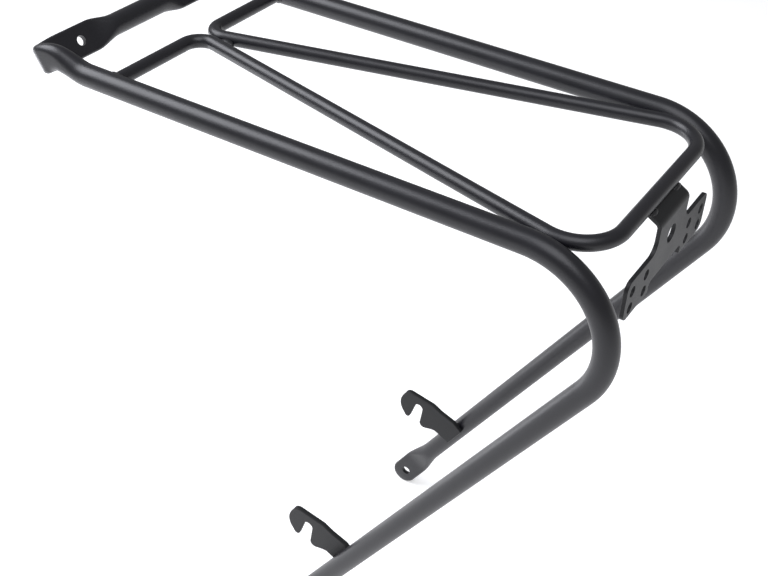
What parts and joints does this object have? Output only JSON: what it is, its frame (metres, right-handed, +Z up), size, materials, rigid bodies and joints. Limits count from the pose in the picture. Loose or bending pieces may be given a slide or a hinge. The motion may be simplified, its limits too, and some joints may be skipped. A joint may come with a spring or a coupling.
{
  "type": "bicycle rear carrier",
  "caption": "Bent tube rear carrier for a bicycle with two slanted legs, a welded deck loop, a light bracket and hook plates for bag springs.",
  "frame": {"origin": "midway between the two leg eyelets, on the line through their holes", "axes": "+X is the rider's right, +Y is forward, +Z is up, with the deck level"},
  "size_m": [0.152, 0.3376, 0.3597],
  "materials": {
    "tube_black": "satin",
    "sheet_black": "satin",
    "weld_black": "satin"
  },
  "bodies": {
    "root": {"side_tube_left": "tube_black", "side_tube_right": "tube_black", "front_bar": "tube_black", "deck_loop": "tube_black", "light_bracket": "sheet_black", "hook_plate_left": "sheet_black", "hook_plate_right": "sheet_black", "weld_deck_front_left": "weld_black", "weld_deck_front_right": "weld_black", "weld_deck_rear_left": "weld_black", "weld_deck_rear_right": "weld_black", "weld_deck_tie": "weld_black", "weld_bracket_left": "weld_black", "weld_bracket_right": "weld_black", "weld_hook_left": "weld_black", "weld_hook_right": "weld_black"}
  },
  "joints": []
}
